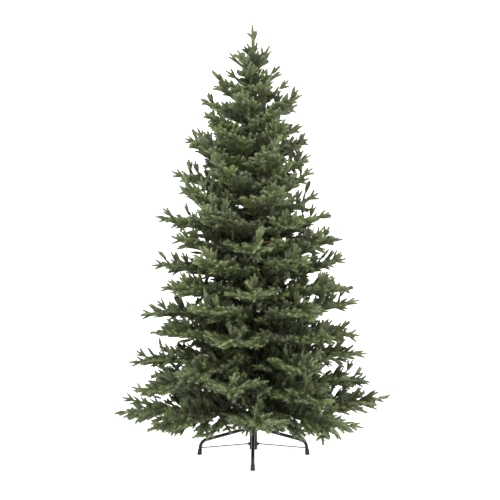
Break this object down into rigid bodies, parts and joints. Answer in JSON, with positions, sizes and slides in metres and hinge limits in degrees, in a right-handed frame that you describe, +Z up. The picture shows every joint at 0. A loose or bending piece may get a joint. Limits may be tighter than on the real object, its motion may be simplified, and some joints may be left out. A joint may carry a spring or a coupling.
{
  "type": "artificial christmas tree",
  "caption": "Full artificial fir with moulded needle tips on flat fan-shaped boughs, on a steel pole in a folding stand of bent tube legs with rubber caps.",
  "frame": {"origin": "on the floor under the pole, so the object's base; the crown reaches a few millimetres further to one side than to the other", "axes": "+Z up along the pole; -Y is the side that the picture shows; +X is the viewer's right"},
  "size_m": [1.3593, 1.182, 2.1],
  "materials": {
    "needles": "dark green moulded needle tips, some bluish, some yellowish, satin",
    "bough_wire": "steel wire wrapped in brown strip, matt",
    "pole_paint": "dark green painted steel tube",
    "stand_paint": "black powder-coated steel tube, satin",
    "foot_cap": "black rubber caps, matt"
  },
  "bodies": {
    "root": {"bough_1": "bough_wire", "bough_2": "bough_wire", "bough_3": "bough_wire", "bough_4": "bough_wire", "bough_5": "bough_wire", "bough_6": "bough_wire", "bough_7": "bough_wire", "bough_8": "bough_wire", "foliage_01_1": "needles", "foliage_01_2": "needles", "foliage_01_3": "needles", "foliage_01_4": "needles", "foliage_01_5": "needles", "foliage_01_6": "needles", "foliage_01_7": "needles", "foliage_01_8": "needles", "foliage_02_1": "needles", "foliage_02_2": "needles", "foliage_03_1": "needles", "foliage_03_2": "needles", "foliage_04_1": "needles", "foliage_04_2": "needles", "foliage_05_1": "needles", "foliage_05_2": "needles", "foliage_06_1": "needles", "foliage_06_2": "needles", "foliage_07_1": "needles", "foliage_07_2": "needles", "foliage_08_1": "needles", "foliage_08_2": "needles", "foliage_09_1": "needles", "foliage_09_2": "needles", "foliage_10_1": "needles", "foliage_10_2": "needles", "foliage_11_1": "needles", "foliage_11_2": "needles", "foliage_12_1": "needles", "foliage_12_2": "needles", "foliage_13_1": "needles", "foliage_13_2": "needles", "foliage_14_1": "needles", "foliage_14_2": "needles", "foliage_15_1": "needles", "foliage_15_2": "needles", "leader": "needles", "pole": "pole_paint", "stand_foot_back": "foot_cap", "stand_foot_front": "foot_cap", "stand_foot_left": "foot_cap", "stand_foot_right": "foot_cap", "stand_hub": "stand_paint", "stand_leg_back": "stand_paint", "stand_leg_front": "stand_paint", "stand_leg_left": "stand_paint", "stand_leg_right": "stand_paint", "stand_stay_back": "stand_paint", "stand_stay_front": "stand_paint", "stand_stay_left": "stand_paint", "stand_stay_right": "stand_paint"}
  },
  "joints": []
}
